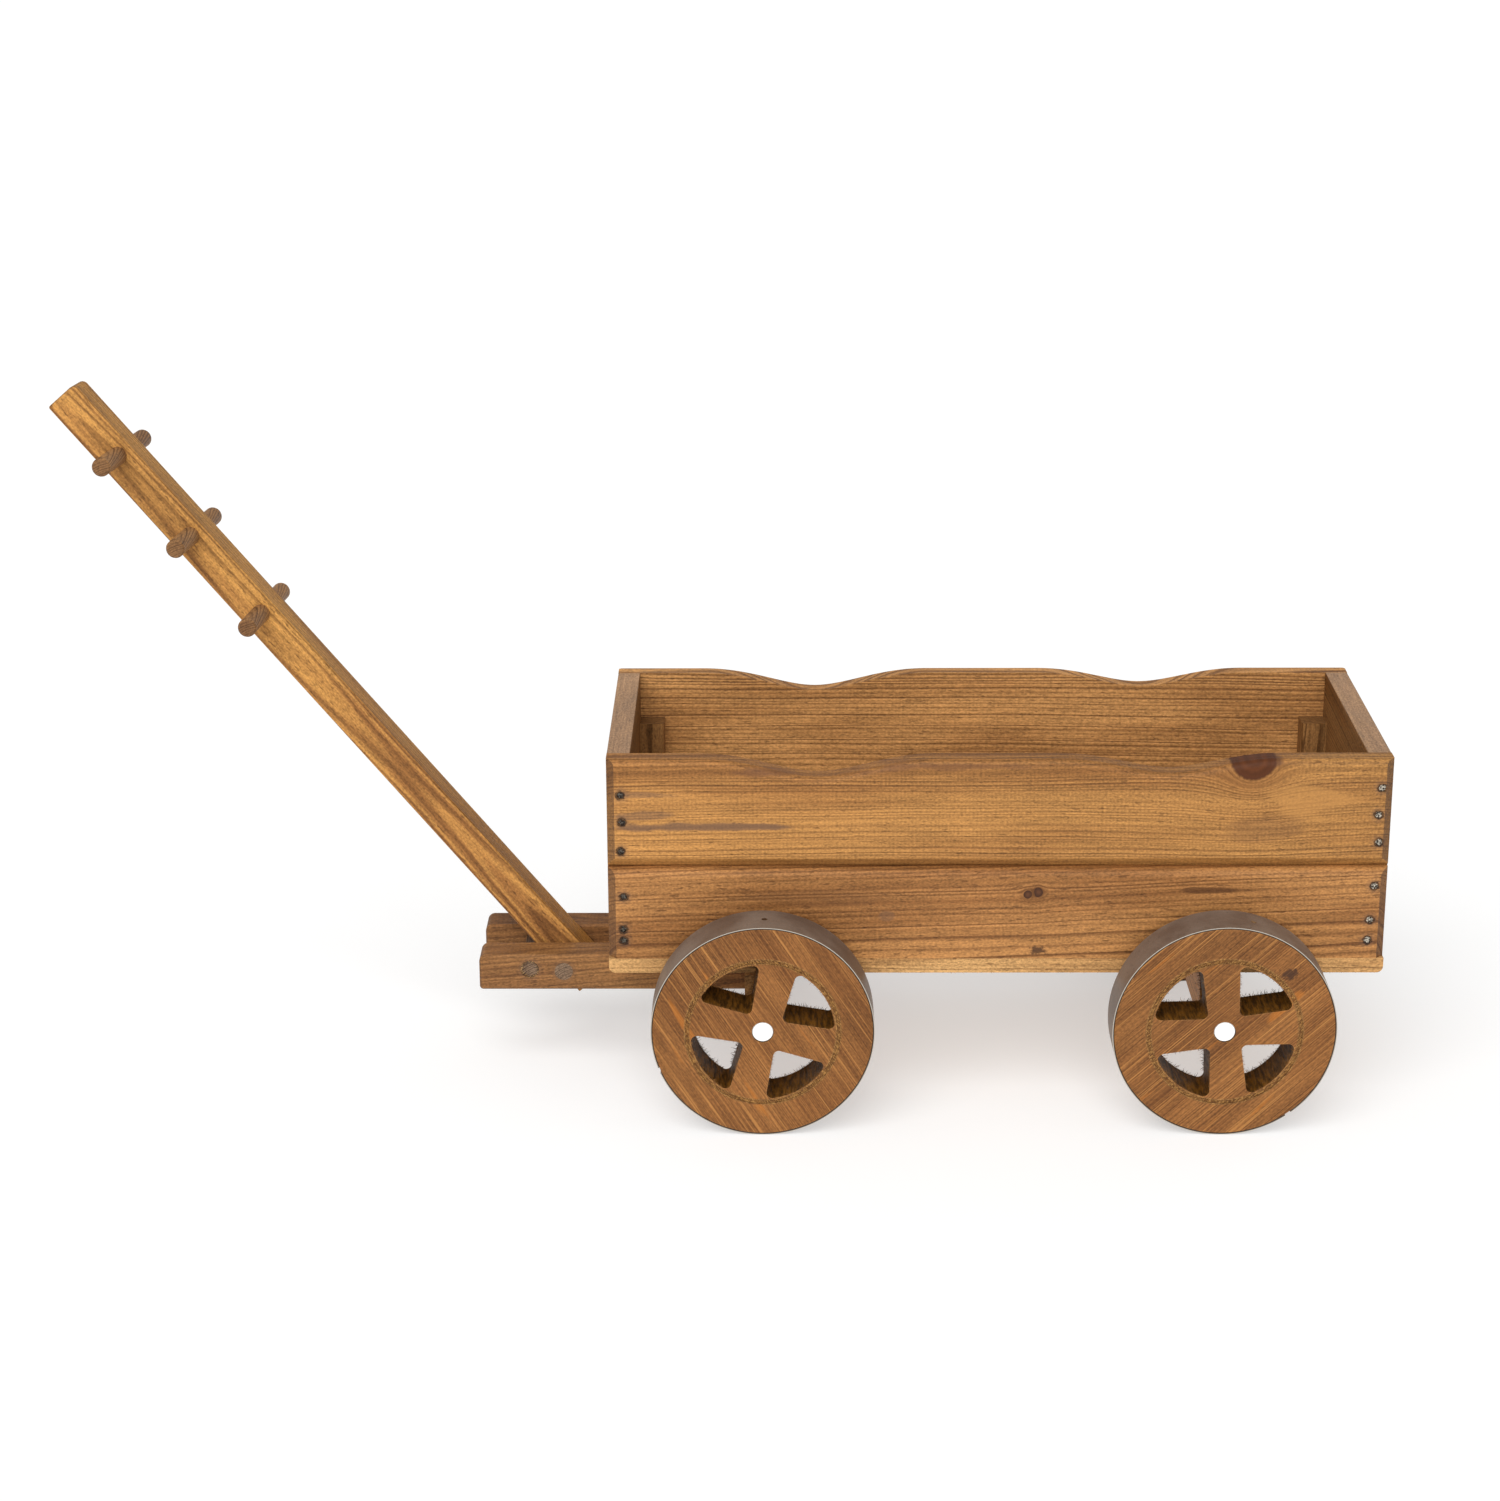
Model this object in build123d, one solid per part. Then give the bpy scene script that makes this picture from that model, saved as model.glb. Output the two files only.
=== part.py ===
from build123d import *

import os
from math import cos, radians, sin

# Wooden toy wagon: a nailed board box on four spoked wooden wheels with steel tyres, and a pull handle
# between two tongue rails. Millimetres, +Z up, ground at Z = 0.
# +X points to the rear, so the handle is at the -X end. The wagon's left side is the -Y side.
# Positions below are measured from the middle of the box, and place() moves them into the final frame.

# Box
BOX_LENGTH = 600.0
BOX_WIDTH = 242.0
BOARD_THICKNESS = 18.0
FLOOR_THICKNESS = 12.0
FLOOR_BOTTOM = 114.3
BOARD_JOINT_HEIGHT = 200.3
BOX_TOP = 288.2
TOP_ROUND = 5.0
JOINT_CHAMFER = 8.5
JOINT_ROUND = 8.0
END_CHAMFER = 6.0
EASED_EDGE = 1.0
FLOOR_BOARD_GAP = 0.4
FLOOR_CORNER_ROUND = 5.0

# Dips in the top edge of the two upper side boards: centre, half length, depth
SCALLOPS = ((-138.0, 92.0, 14.5), (130.0, 84.0, 11.5))

# Corner posts inside the box
POST_SIDE = 20.0
POST_TOP = 250.5
POST_CHAMFER = 3.0

# Nails in the side boards
NAIL_HEAD_RADIUS = 2.7
NAIL_HEAD_THICKNESS = 1.2
NAIL_SHANK_RADIUS = 1.4
NAIL_LENGTH = 45.0
NAIL_SINK = 0.8
NAIL_HOLE_PLAY = 0.05
FRONT_NAILS = ((-289.4, 260.2), (-288.3, 238.3), (-289.4, 214.7),
               (-287.7, 177.3), (-288.5, 150.4), (-288.2, 141.2))
REAR_NAILS = ((291.2, 265.7), (289.5, 244.0), (290.8, 221.6),
              (289.6, 185.8), (287.5, 158.0), (286.5, 141.3))
FLOOR_NAIL_STATIONS = (-255.0, -85.0, 85.0, 255.0)

# Wheels, tyres and axles
WHEELBASE_FRONT = -180.7
WHEELBASE_REAR = 172.4
TYRE_RADIUS = 85.8
TYRE_THICKNESS = 1.2
TYRE_SEAT_PLAY = 0.05
TYRE_GAP = 5.0
WHEEL_WIDTH = 36.5
WHEEL_INNER_FACE = 135.0
WINDOW_RADIUS = 55.5
SPOKE_HALF_AT_HUB = 11.8
SPOKE_HALF_AT_RIM = 14.5
WINDOW_CORNER_RADIUS = 4.5
GROOVE_RADIUS = 58.2
GROOVE_WIDTH = 2.8
GROOVE_DEPTH = 1.0
AXLE_RADIUS = 8.1
WHEEL_BORE_PLAY = 0.3
AXLE_SEAT_PLAY = 0.05
AXLE_RECESS = 1.0
SPACER_RADIUS = 14.0
SPACER_END_PLAY = 0.3
TYRE_NAIL_RADIUS = 2.2
TYRE_NAIL_LENGTH = 18.0
# Wheel name: axle position, side, spoke turn, tyre gap angle, tyre nail angles (degrees, seen from -Y)
WHEELS = {
    "front_left": (WHEELBASE_FRONT, -1, -13.0, 202.0, (89.0, 190.0, 214.0)),
    "rear_left": (WHEELBASE_REAR, -1, 5.0, 307.0, (76.0, 295.0, 319.0)),
    "front_right": (WHEELBASE_FRONT, 1, 15.0, 250.0, (110.0, 238.0, 262.0)),
    "rear_right": (WHEELBASE_REAR, 1, -12.0, 155.0, (60.0, 143.0, 167.0)),
}

# Axle beams under the floor
BEAM_WIDTH = 28.0
BEAM_BOTTOM = 74.0
BEAM_LENGTH = 250.0
BEAM_SCREW_STATIONS = (-85.0, 0.0, 85.0)
SCREW_HEAD_RADIUS = 4.0
SCREW_HEAD_HEIGHT = 3.0
SCREW_SHANK_RADIUS = 2.0
DRIVER_SLOT_LENGTH = 5.2
DRIVER_SLOT_WIDTH = 1.1
DRIVER_SLOT_DEPTH = 1.6
BEAM_SCREW_LENGTH = 30.0
TONGUE_SCREW_LENGTH = 52.0
SCREW_HOLE_PLAY = 0.05

# Tongue rails and the packer that carries them under the floor
RAIL_FRONT_END = -408.0
RAIL_THICKNESS = 28.5
RAIL_BOTTOM = 69.2
RAIL_TOP = 98.9
SLOT_HALF_WIDTH = 18.5
RAIL_END_ROUND = 6.0
RAIL_EASED_EDGE = 1.5
PACKER_FRONT = -296.0
PACKER_REAR = -236.0
PACKER_HALF_WIDTH = 60.0
TONGUE_SCREW_STATIONS = (-284.0, -248.0)

# Pull handle
DOWEL_RADIUS = 7.25
DOWEL_SEAT_PLAY = 0.05
PIVOT_X = -340.4
PIVOT_HEIGHT = 84.8
STOP_RECESS = 2.0
STOP_ABOVE_PIVOT = 1.8
HANDLE_REST_ANGLE = 49.07
HANDLE_LEAN = 4.8
HANDLE_THICKNESS = 31.0
HANDLE_DEPTH = 28.5
HANDLE_ABOVE_PIVOT = 597.0
HANDLE_BELOW_PIVOT = 30.5
HANDLE_OFFSET = 2.5
HANDLE_EASED_EDGE = 2.0
HANDLE_TIP_ROUND = 5.0
PIVOT_HOLE_PLAY = 0.35
STOP_CONTACT_GAP = 0.3
PEG_LENGTH = 136.0
PEG_EASED_EDGE = 1.2
PEG_OFFSET = 1.5
PEG_STATIONS = {"upper": 533.5, "middle": 449.8, "lower": 367.9}

FLOOR_TOP = FLOOR_BOTTOM + FLOOR_THICKNESS
SIDE_CENTRE = (BOX_WIDTH - BOARD_THICKNESS) / 2
END_INNER = BOX_LENGTH / 2 - BOARD_THICKNESS
SIDE_INNER = BOX_WIDTH / 2 - BOARD_THICKNESS
WHEEL_CENTRE_HEIGHT = TYRE_RADIUS
WHEEL_RADIUS = TYRE_RADIUS - TYRE_THICKNESS - TYRE_SEAT_PLAY
STOP_HEIGHT = PIVOT_HEIGHT + STOP_ABOVE_PIVOT
HANDLE_REST = radians(HANDLE_REST_ANGLE)
# from the line along the bar through its pivot, square to it, down to the middle of the stop dowel
STOP_SETBACK = HANDLE_DEPTH / 2 - HANDLE_OFFSET + DOWEL_RADIUS + STOP_CONTACT_GAP
STOP_DISTANCE = (STOP_SETBACK + STOP_ABOVE_PIVOT * cos(HANDLE_REST)) / sin(HANDLE_REST)
ALONG_Y = (0, 1, 0)


def box_between(x0, x1, y0, y1, z0, z1):
    """Plain block between two corners."""
    block = Box(x1 - x0, y1 - y0, z1 - z0)
    return block.moved(Location(((x0 + x1) / 2, (y0 + y1) / 2, (z0 + z1) / 2)))


def rod(start, direction, radius, length):
    """Round rod that starts at a point and runs along a direction."""
    plane = Plane(origin=start, z_dir=direction)
    return plane * Pos(0, 0, length / 2) * Cylinder(radius, length)


def cross_rod(x, z, y0, y1, radius):
    """Round rod parallel to Y."""
    return rod((x, y0, z), ALONG_Y, radius, y1 - y0)


def edges_along(part, axis, test):
    """Straight edges of a part that run along an axis and pass a test on their centre."""
    return part.edges().filter_by(axis).filter_by(lambda edge: test(edge.center()))


def nail(start, direction, grow=0.0):
    """Flat-headed nail. A positive grow makes the hole it sits in."""
    head = rod(start, direction, NAIL_HEAD_RADIUS + grow, NAIL_HEAD_THICKNESS)
    shank = rod(start, direction, NAIL_SHANK_RADIUS + grow, NAIL_LENGTH + grow)
    return head + shank


def screw(start, direction, length, grow=0.0):
    """Flat-headed screw. A positive grow makes the hole it sits in."""
    head = rod(start, direction, SCREW_HEAD_RADIUS + grow, SCREW_HEAD_HEIGHT)
    shank = rod(start, direction, SCREW_SHANK_RADIUS + grow, length + grow)
    return head + shank


def driver_recess(start, direction):
    """Cross-shaped recess for the driver in a screw head."""
    slot = Box(DRIVER_SLOT_LENGTH, DRIVER_SLOT_WIDTH, 2 * DRIVER_SLOT_DEPTH)
    return Plane(origin=start, z_dir=direction) * (slot + Rot(0, 0, 90) * slot)


def cut_away(part, tools):
    """Part with each tool taken out of it."""
    for tool in tools:
        part = part - tool
    return part


def side_nail_places(side):
    """Start point and direction of every nail in one side of the box."""
    face = side * (BOX_WIDTH / 2 - NAIL_SINK)
    return [((x, face, z), (0, -side, 0)) for x, z in FRONT_NAILS + REAR_NAILS]


def side_nail_holes(side):
    """Holes for the side nails, open to the outside face."""
    holes = []
    for start, direction in side_nail_places(side):
        holes.append(nail(start, direction, NAIL_HOLE_PLAY))
        holes.append(rod(start, (0, side, 0), NAIL_HEAD_RADIUS + NAIL_HOLE_PLAY, 2 * NAIL_SINK))
    return holes


def floor_nail_places():
    """Nails driven up through the floor into the lower side boards."""
    return [((x, side * SIDE_CENTRE, FLOOR_BOTTOM), (0, 0, 1))
            for x in FLOOR_NAIL_STATIONS for side in (-1, 1)]


def scalloped_outline():
    """Outline of an upper side board in the XZ plane, with its two dips."""
    half = BOX_LENGTH / 2
    curves = []
    x = -half
    for centre, reach, depth in SCALLOPS:
        curves.append(Line((x, BOX_TOP), (centre - reach, BOX_TOP)))
        dip = [(centre - reach, BOX_TOP), (centre, BOX_TOP - depth), (centre + reach, BOX_TOP)]
        curves.append(Spline(*dip, tangents=[(1, 0), (1, 0)]))
        x = centre + reach
    curves.append(Line((x, BOX_TOP), (half, BOX_TOP)))
    curves.append(Polyline((half, BOX_TOP), (half, BOARD_JOINT_HEIGHT),
                           (-half, BOARD_JOINT_HEIGHT), (-half, BOX_TOP)))
    return make_face(Curve() + curves)


def upper_side_board(side):
    """Upper side board: scalloped and rounded along the top, chamfered along the joint."""
    outer = side * BOX_WIDTH / 2
    profile = Plane.XZ * scalloped_outline()
    board = extrude(profile, amount=-BOARD_THICKNESS)
    board = board.moved(Location((0, min(outer, outer - side * BOARD_THICKNESS), 0)))

    def on_outer_face(point):
        return abs(point.Y - outer) < 0.1

    ends = edges_along(board, Axis.Z, on_outer_face)
    board = chamfer(ends, END_CHAMFER)
    joint = edges_along(board, Axis.X, lambda p: on_outer_face(p) and p.Z < BOARD_JOINT_HEIGHT + 1)
    board = chamfer(joint, JOINT_CHAMFER)
    top = board.edges().filter_by(
        lambda edge: on_outer_face(edge.center()) and edge.center().Z > BOX_TOP - 20)
    board = fillet(top, TOP_ROUND)
    return cut_away(board, side_nail_holes(side))


def lower_side_board(side):
    """Lower side board: rounded along the joint, chamfered at both ends."""
    outer = side * BOX_WIDTH / 2
    inner = outer - side * BOARD_THICKNESS
    board = box_between(-BOX_LENGTH / 2, BOX_LENGTH / 2, min(inner, outer), max(inner, outer),
                        FLOOR_TOP, BOARD_JOINT_HEIGHT)

    def on_outer_face(point):
        return abs(point.Y - outer) < 0.1

    board = chamfer(edges_along(board, Axis.Z, on_outer_face), END_CHAMFER)
    joint = edges_along(board, Axis.X, lambda p: on_outer_face(p) and p.Z > BOARD_JOINT_HEIGHT - 1)
    board = fillet(joint, JOINT_ROUND)
    holes = side_nail_holes(side) + [nail(*spot, NAIL_HOLE_PLAY) for spot in floor_nail_places()]
    return cut_away(board, holes)


def end_board(end, bottom, top):
    """End board held between the two side boards."""
    outer = end * BOX_LENGTH / 2
    inner = end * END_INNER
    board = box_between(min(inner, outer), max(inner, outer), -SIDE_INNER, SIDE_INNER, bottom, top)
    board = fillet(edges_along(board, Axis.Y, lambda p: p.Z > top - 1), EASED_EDGE)
    return cut_away(board, side_nail_holes(-1) + side_nail_holes(1))


def floor_board(y0, y1):
    """One of the boards that make the floor, running the length of the box."""
    half = BOX_LENGTH / 2
    board = box_between(-half, half, y0, y1, FLOOR_BOTTOM, FLOOR_TOP)
    board = fillet(edges_along(board, Axis.Y, lambda p: p.Z < FLOOR_BOTTOM + 1), FLOOR_CORNER_ROUND)
    holes = [nail(*spot, NAIL_HOLE_PLAY) for spot in floor_nail_places()]
    holes += [screw(*spot, SCREW_HOLE_PLAY) for spot in beam_screw_places() + tongue_screw_places()]
    return cut_away(board, holes)


def floor_boards():
    """Left, middle and right floor boards."""
    width = (BOX_WIDTH - 2 * FLOOR_BOARD_GAP) / 3
    starts = [-BOX_WIDTH / 2 + index * (width + FLOOR_BOARD_GAP) for index in range(3)]
    names = ("floor_board_left", "floor_board_middle", "floor_board_right")
    return {name: floor_board(start, start + width) for name, start in zip(names, starts)}


def corner_post(end, side):
    """Square post in an inside corner of the box, with a chamfered top."""
    x0, x1 = sorted((end * END_INNER, end * (END_INNER - POST_SIDE)))
    y0, y1 = sorted((side * SIDE_INNER, side * (SIDE_INNER - POST_SIDE)))
    post = box_between(x0, x1, y0, y1, FLOOR_TOP, POST_TOP)
    inner_edge = edges_along(post, Axis.Z, lambda p: abs(p.X) < END_INNER - 1 and abs(p.Y) < SIDE_INNER - 1)
    post = fillet(inner_edge, POST_CHAMFER)
    return cut_away(post, side_nail_holes(side))


def beam_screw_places():
    """Screws driven down through the floor into the axle beams."""
    return [((x, y, FLOOR_TOP), (0, 0, -1), BEAM_SCREW_LENGTH)
            for x in (WHEELBASE_FRONT, WHEELBASE_REAR) for y in BEAM_SCREW_STATIONS]


def tongue_screw_places():
    """Screws driven up through the tongue rails and the packer into the floor."""
    rail_centre = SLOT_HALF_WIDTH + RAIL_THICKNESS / 2
    return [((x, side * rail_centre, RAIL_BOTTOM), (0, 0, 1), TONGUE_SCREW_LENGTH)
            for x in TONGUE_SCREW_STATIONS for side in (-1, 1)]


def axle_beam(x):
    """Cross beam under the floor that carries one axle."""
    half = BEAM_WIDTH / 2
    beam = box_between(x - half, x + half, -BEAM_LENGTH / 2, BEAM_LENGTH / 2, BEAM_BOTTOM, FLOOR_BOTTOM)
    beam = chamfer(edges_along(beam, Axis.Y, lambda p: p.Z < BEAM_BOTTOM + 1), EASED_EDGE)
    bore = cross_rod(x, WHEEL_CENTRE_HEIGHT, -BEAM_LENGTH, BEAM_LENGTH, AXLE_RADIUS + AXLE_SEAT_PLAY)
    return cut_away(beam, [bore] + [screw(*spot, SCREW_HOLE_PLAY) for spot in beam_screw_places()])


def axle_rod(x):
    """Round axle fixed in its beam. The wheels turn on its ends."""
    reach = WHEEL_INNER_FACE + WHEEL_WIDTH - AXLE_RECESS
    axle = cross_rod(x, WHEEL_CENTRE_HEIGHT, -reach, reach, AXLE_RADIUS)
    return chamfer(axle.edges().filter_by(GeomType.CIRCLE), EASED_EDGE / 2)


def wheel_spacer(x, side):
    """Collar on the axle between a beam end and a wheel."""
    y0, y1 = sorted((side * BEAM_LENGTH / 2, side * (WHEEL_INNER_FACE - SPACER_END_PLAY)))
    collar = cross_rod(x, WHEEL_CENTRE_HEIGHT, y0, y1, SPACER_RADIUS)
    return collar - cross_rod(x, WHEEL_CENTRE_HEIGHT, y0 - 1, y1 + 1, AXLE_RADIUS + AXLE_SEAT_PLAY)


def wheel_window():
    """One quarter window between two spokes, as a flat face."""
    spread = (SPOKE_HALF_AT_RIM - SPOKE_HALF_AT_HUB) / (WINDOW_RADIUS - SPOKE_HALF_AT_HUB)
    far = 2 * WINDOW_RADIUS
    side = SPOKE_HALF_AT_HUB + spread * (far - SPOKE_HALF_AT_HUB)
    hub = SPOKE_HALF_AT_HUB
    wedge = make_face(Polyline((hub, hub), (far, side), (far, far), (side, far), (hub, hub)))
    window = wedge & Circle(WINDOW_RADIUS)
    return fillet(window.vertices(), WINDOW_CORNER_RADIUS)


def wheel(turn):
    """Wooden wheel about its own centre, with its axis along Z and its outer face at +Z."""
    half = WHEEL_WIDTH / 2
    disc = Cylinder(WHEEL_RADIUS, WHEEL_WIDTH)
    disc = chamfer(disc.edges().filter_by(GeomType.CIRCLE), EASED_EDGE / 2)
    disc -= Cylinder(AXLE_RADIUS + WHEEL_BORE_PLAY, 2 * WHEEL_WIDTH)
    opening = extrude(wheel_window(), amount=2 * WHEEL_WIDTH).moved(Location((0, 0, -WHEEL_WIDTH)))
    for quarter in range(4):
        disc -= Rot(0, 0, turn + 90 * quarter) * opening
    groove = Cylinder(GROOVE_RADIUS + GROOVE_WIDTH / 2, GROOVE_DEPTH)
    groove -= Cylinder(GROOVE_RADIUS - GROOVE_WIDTH / 2, 2 * GROOVE_DEPTH)
    return disc - groove.moved(Location((0, 0, half - GROOVE_DEPTH / 2)))


def tyre(gap_angle):
    """Flat steel strap bent round the wheel, with a small gap where its ends meet."""
    inner = TYRE_RADIUS - TYRE_THICKNESS
    band = Cylinder(TYRE_RADIUS, WHEEL_WIDTH) - Cylinder(inner, 2 * WHEEL_WIDTH)
    slot = box_between(inner - 10, TYRE_RADIUS + 10, -TYRE_GAP / 2, TYRE_GAP / 2, -WHEEL_WIDTH, WHEEL_WIDTH)
    return band - Rot(0, 0, gap_angle) * slot


def tyre_nail(angle, grow=0.0):
    """Nail that pins the tyre to the wheel, its end flush with the tread."""
    outward = (cos(radians(angle)), sin(radians(angle)), 0)
    start = tuple((TYRE_RADIUS - TYRE_NAIL_LENGTH) * value for value in outward)
    return rod(start, outward, TYRE_NAIL_RADIUS + grow, TYRE_NAIL_LENGTH)


def on_axle(part, x, side):
    """Moves a wheel part from its own centre onto its axle, its outer face away from the box."""
    centre = (x, side * (WHEEL_INNER_FACE + WHEEL_WIDTH / 2), WHEEL_CENTRE_HEIGHT)
    return Plane(origin=centre, x_dir=(side * -1, 0, 0), z_dir=(0, side, 0)) * part


def wheel_parts():
    """Wheels, tyres and tyre nails by node name."""
    parts = {}
    for name, (x, side, turn, gap_angle, nail_angles) in WHEELS.items():
        # a wheel on the right faces the other way, so its angles are mirrored
        turn, gap_angle, *nail_angles = [angle if side < 0 else 180 - angle
                                         for angle in (turn, gap_angle, *nail_angles)]
        holes = [tyre_nail(angle, NAIL_HOLE_PLAY) for angle in nail_angles]
        parts["wheel_" + name] = on_axle(cut_away(wheel(turn), holes), x, side)
        parts["tyre_" + name] = on_axle(cut_away(tyre(gap_angle), holes), x, side)
        tread = Cylinder(TYRE_RADIUS, WHEEL_WIDTH)
        parts["tyre_nails_" + name] = [on_axle(tyre_nail(angle) & tread, x, side) for angle in nail_angles]
    return parts


def tongue_rail(side):
    """One of the two rails that hold the handle, rounded at its front end."""
    y0, y1 = sorted((side * SLOT_HALF_WIDTH, side * (SLOT_HALF_WIDTH + RAIL_THICKNESS)))
    rear = WHEELBASE_FRONT - BEAM_WIDTH / 2
    rail = box_between(RAIL_FRONT_END, rear, y0, y1, RAIL_BOTTOM, RAIL_TOP)
    front_edges = edges_along(rail, Axis.Y, lambda p: p.X < rear - 1).sort_by(Axis.Z)
    rail = fillet(front_edges[0], RAIL_END_ROUND / 2)
    front_edges = edges_along(rail, Axis.Y, lambda p: p.X < rear - 1).sort_by(Axis.Z)
    rail = fillet(front_edges[-1], RAIL_END_ROUND)
    rail = chamfer(edges_along(rail, Axis.X, lambda p: True), RAIL_EASED_EDGE)
    reach = 2 * (SLOT_HALF_WIDTH + RAIL_THICKNESS)
    holes = [cross_rod(x, z, -reach, reach, DOWEL_RADIUS + DOWEL_SEAT_PLAY)
             for x, z in ((PIVOT_X, PIVOT_HEIGHT), (PIVOT_X - STOP_DISTANCE, STOP_HEIGHT))]
    holes += [screw(*spot, SCREW_HOLE_PLAY) for spot in tongue_screw_places()]
    return cut_away(rail, holes)


def tongue_packer():
    """Flat cleat between the floor and the tongue rails."""
    packer = box_between(PACKER_FRONT, PACKER_REAR, -PACKER_HALF_WIDTH, PACKER_HALF_WIDTH,
                         RAIL_TOP, FLOOR_BOTTOM)
    return cut_away(packer, [screw(*spot, SCREW_HOLE_PLAY) for spot in tongue_screw_places()])


def handle_plane():
    """Plane of the handle, origin on the pivot: X towards the tip, Y across it towards the left."""
    lean = radians(HANDLE_LEAN)
    along = (-cos(HANDLE_REST) * cos(lean), sin(lean), sin(HANDLE_REST) * cos(lean))
    upper_side = (sin(HANDLE_REST), 0, cos(HANDLE_REST))
    return Plane(origin=(PIVOT_X, 0, PIVOT_HEIGHT), x_dir=along, z_dir=upper_side)


def peg(station, radius):
    """Round grip peg across the handle, a little nearer its upper side."""
    return Pos(station, 0, HANDLE_OFFSET + PEG_OFFSET) * Rot(90, 0, 0) * Cylinder(radius, PEG_LENGTH)


def pull_handle():
    """Handle bar with holes for its pegs. Its pivot hole is off square and nearer the lower side."""
    half_y = HANDLE_THICKNESS / 2
    bottom = HANDLE_OFFSET - HANDLE_DEPTH / 2
    bar = box_between(-HANDLE_BELOW_PIVOT, HANDLE_ABOVE_PIVOT, -half_y, half_y, bottom, bottom + HANDLE_DEPTH)
    tip = edges_along(bar, Axis.Y, lambda p: p.X > 0 and p.Z > HANDLE_OFFSET)
    bar = fillet(tip, HANDLE_TIP_ROUND)
    bar = fillet(edges_along(bar, Axis.Y, lambda p: p.X > 0 and p.Z < HANDLE_OFFSET), HANDLE_EASED_EDGE)
    bar = fillet(edges_along(bar, Axis.X, lambda p: True), HANDLE_EASED_EDGE)
    bar = cut_away(bar, [peg(station, DOWEL_RADIUS + DOWEL_SEAT_PLAY) for station in PEG_STATIONS.values()])
    bar = handle_plane() * bar
    return bar - cross_rod(PIVOT_X, PIVOT_HEIGHT, -BOX_WIDTH, BOX_WIDTH, DOWEL_RADIUS + PIVOT_HOLE_PLAY)


def handle_pegs():
    """Three grip pegs by node name."""
    pegs = {}
    for name, station in PEG_STATIONS.items():
        grip = peg(station, DOWEL_RADIUS)
        grip = chamfer(grip.edges().filter_by(GeomType.CIRCLE), PEG_EASED_EDGE)
        pegs["handle_peg_" + name] = handle_plane() * grip
    return pegs


def dowels():
    """Dowel the handle turns on, and the dowel it comes to rest on."""
    outer = SLOT_HALF_WIDTH + RAIL_THICKNESS
    stop_x = PIVOT_X - STOP_DISTANCE
    return {
        "handle_pivot_dowel": cross_rod(PIVOT_X, PIVOT_HEIGHT, -outer, outer, DOWEL_RADIUS),
        "handle_stop_dowel": cross_rod(stop_x, STOP_HEIGHT, -outer + STOP_RECESS, outer, DOWEL_RADIUS),
    }


def driven_screws(spots):
    """Screws with a driver recess in each head."""
    return [screw(*spot) - driver_recess(*spot[:2]) for spot in spots]


def fasteners():
    """Nails and screws, grouped by what they hold."""
    return {
        "nails_left_side": [nail(*spot) for spot in side_nail_places(-1)],
        "nails_right_side": [nail(*spot) for spot in side_nail_places(1)],
        "nails_floor": [nail(*spot) for spot in floor_nail_places()],
        "screws_axle_beams": driven_screws(beam_screw_places()),
        "screws_tongue": driven_screws(tongue_screw_places()),
    }


def box_parts():
    """Side, end and corner pieces of the box."""
    parts = {}
    for side, side_name in ((-1, "left"), (1, "right")):
        parts[side_name + "_upper_side_board"] = upper_side_board(side)
        parts[side_name + "_lower_side_board"] = lower_side_board(side)
        for end, end_name in ((-1, "front"), (1, "rear")):
            parts["corner_post_" + end_name + "_" + side_name] = corner_post(end, side)
    for end, end_name in ((-1, "front"), (1, "rear")):
        parts[end_name + "_upper_end_board"] = end_board(end, BOARD_JOINT_HEIGHT, BOX_TOP)
        parts[end_name + "_lower_end_board"] = end_board(end, FLOOR_TOP, BOARD_JOINT_HEIGHT)
    return parts


def running_gear():
    """Beams, axles and spacers."""
    axle_positions = (("front", WHEELBASE_FRONT), ("rear", WHEELBASE_REAR))
    parts = {name + "_axle_beam": axle_beam(x) for name, x in axle_positions}
    parts.update({name + "_axle_rod": axle_rod(x) for name, x in axle_positions})
    parts["wheel_spacers"] = [wheel_spacer(x, side) for name, x in axle_positions for side in (-1, 1)]
    return parts


def all_parts():
    """Every node of the wagon, in box coordinates."""
    parts = box_parts()
    parts.update(floor_boards())
    parts.update(running_gear())
    parts.update(wheel_parts())
    parts["left_tongue_rail"] = tongue_rail(-1)
    parts["right_tongue_rail"] = tongue_rail(1)
    parts["tongue_packer"] = tongue_packer()
    parts.update(dowels())
    parts["pull_handle"] = pull_handle()
    parts.update(handle_pegs())
    parts.update(fasteners())
    return parts


def solids_of(shape):
    """The separate solids of a node, which is one part or a list of parts."""
    return shape if isinstance(shape, list) else [shape]


def place(solids, offset_x):
    """One shape from a node's solids, moved along X into the final frame."""
    moved = [solid.moved(Location((offset_x, 0, 0))) for solid in solids]
    return moved[0] if len(moved) == 1 else Compound(children=moved)


def main():
    os.makedirs("parts", exist_ok=True)
    parts = {name: solids_of(shape) for name, shape in all_parts().items()}
    boxes = [solid.bounding_box() for solids in parts.values() for solid in solids]
    offset_x = -(min(box.min.X for box in boxes) + max(box.max.X for box in boxes)) / 2
    for name, solids in parts.items():
        export_step(place(solids, offset_x), "parts/" + name + ".step")
    print("nodes:", len(parts))
    print("box centre at X =", round(offset_x, 3))
    print("handle pivot at X =", round(PIVOT_X + offset_x, 3), "Z =", PIVOT_HEIGHT)
    print("axles at X =", round(WHEELBASE_FRONT + offset_x, 3), "and", round(WHEELBASE_REAR + offset_x, 3))


main()
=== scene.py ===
import math
import random

import bmesh
import bpy
from mathutils import Matrix, Vector


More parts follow.
